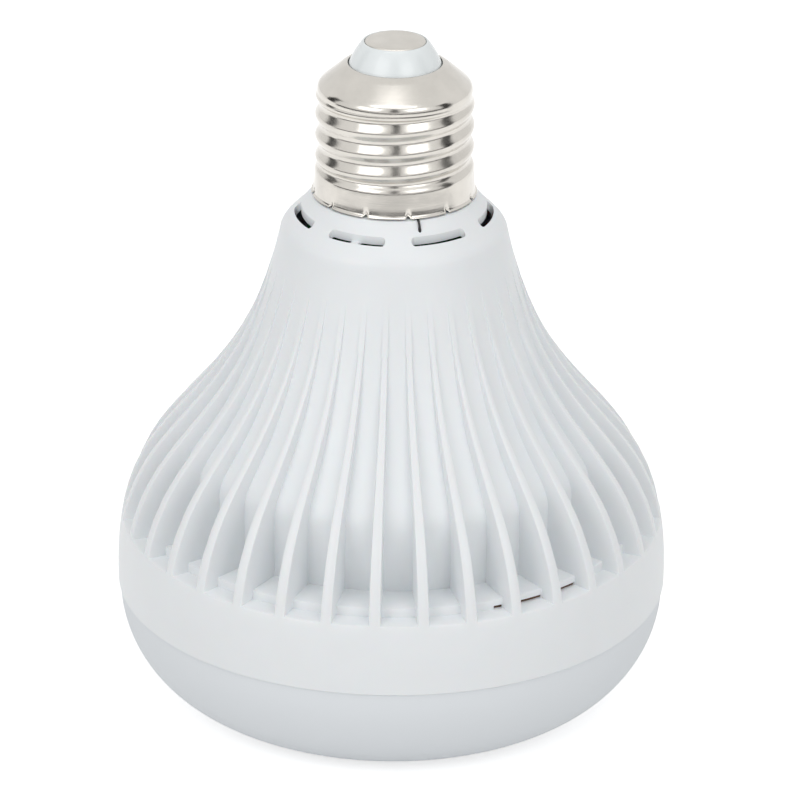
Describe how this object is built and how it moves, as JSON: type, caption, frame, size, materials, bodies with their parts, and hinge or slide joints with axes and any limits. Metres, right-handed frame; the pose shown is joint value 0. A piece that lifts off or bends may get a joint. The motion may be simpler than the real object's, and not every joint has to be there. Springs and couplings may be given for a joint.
{
  "type": "speaker light bulb",
  "caption": "E27 light bulb with a speaker: ribbed white bell housing with vent slots, milky light ring, nickel screw cap, and a full-range driver facing out of the light face",
  "frame": {"origin": "centre of the light face, which the bulb stands on", "axes": "+Z from the light face up to the centre contact; -Y through a rib that faces the viewer of the picture"},
  "size_m": [0.0932, 0.0932, 0.1157],
  "materials": {
    "white_abs": "fine satin moulded surface",
    "milky_polycarbonate": "translucent milky, satin",
    "nickel_plate": "nickel plated, semi-bright",
    "insulator_white": "glossy white",
    "phenolic_board": "brown phenolic",
    "led_phosphor": "yellow phosphor in white package",
    "zinc_screw": "zinc plated",
    "pressed_steel": "zinc plated sheet",
    "ferrite": "dark grey sintered ferrite",
    "coil_copper": "enamelled copper on a former",
    "cone_paper": "black pulp paper",
    "surround_rubber": "black rubber",
    "spider_cloth": "resin dipped cloth",
    "strip_board": "brown fibre strip with tinned eyelets",
    "green_board": "green solder mask",
    "tinned_shield": "tinned shield can",
    "black_epoxy": "black moulding compound",
    "capacitor_sleeve": "black shrink sleeve",
    "film_epoxy": "brown dipped epoxy",
    "coil_tape": "yellow tape",
    "gold_pin": "gold flashed pins",
    "resistor_lacquer": "blue-green lacquer",
    "lead_black": "black PVC",
    "lead_red": "red PVC"
  },
  "bodies": {
    "lamp_body": {"housing": "white_abs", "speaker_grille": "white_abs", "speaker_pod": "white_abs", "diffuser": "milky_polycarbonate", "screw_shell": "nickel_plate", "centre_contact": "nickel_plate", "cap_insulator": "insulator_white", "led_board": "phenolic_board", "led_chips": "led_phosphor", "pod_screws": "zinc_screw", "led_board_screws": "zinc_screw", "speaker_screws": "zinc_screw", "audio_board_screws": "zinc_screw", "speaker_frame": "pressed_steel", "front_plate": "pressed_steel", "yoke": "pressed_steel", "magnet": "ferrite", "transformer_core": "ferrite", "inductor": "ferrite", "gasket": "cone_paper", "surround": "surround_rubber", "spider": "spider_cloth", "terminal_strip": "strip_board", "power_board": "green_board", "audio_board": "green_board", "bluetooth_module": "tinned_shield", "amplifier_chip": "black_epoxy", "bridge_rectifier": "black_epoxy", "mains_capacitor": "capacitor_sleeve", "output_capacitor": "capacitor_sleeve", "film_capacitor": "film_epoxy", "transformer_coil": "coil_tape", "link_pins": "gold_pin", "fusible_resistor": "resistor_lacquer", "neutral_lead": "lead_black", "led_leads": "lead_black", "live_lead": "lead_red", "speaker_leads": "lead_red"},
    "moving_cone": {"speaker_cone": "cone_paper", "dust_cap": "cone_paper", "voice_coil": "coil_copper"}
  },
  "joints": [
    {"name": "cone_travel", "type": "slide", "parent": "lamp_body", "child": "moving_cone", "axis": [0, 0, 1], "range_m": [-0.0015, 0.0015], "stiffness_N_per_m": 1000, "deforming": ["surround", "spider"]}
  ]
}
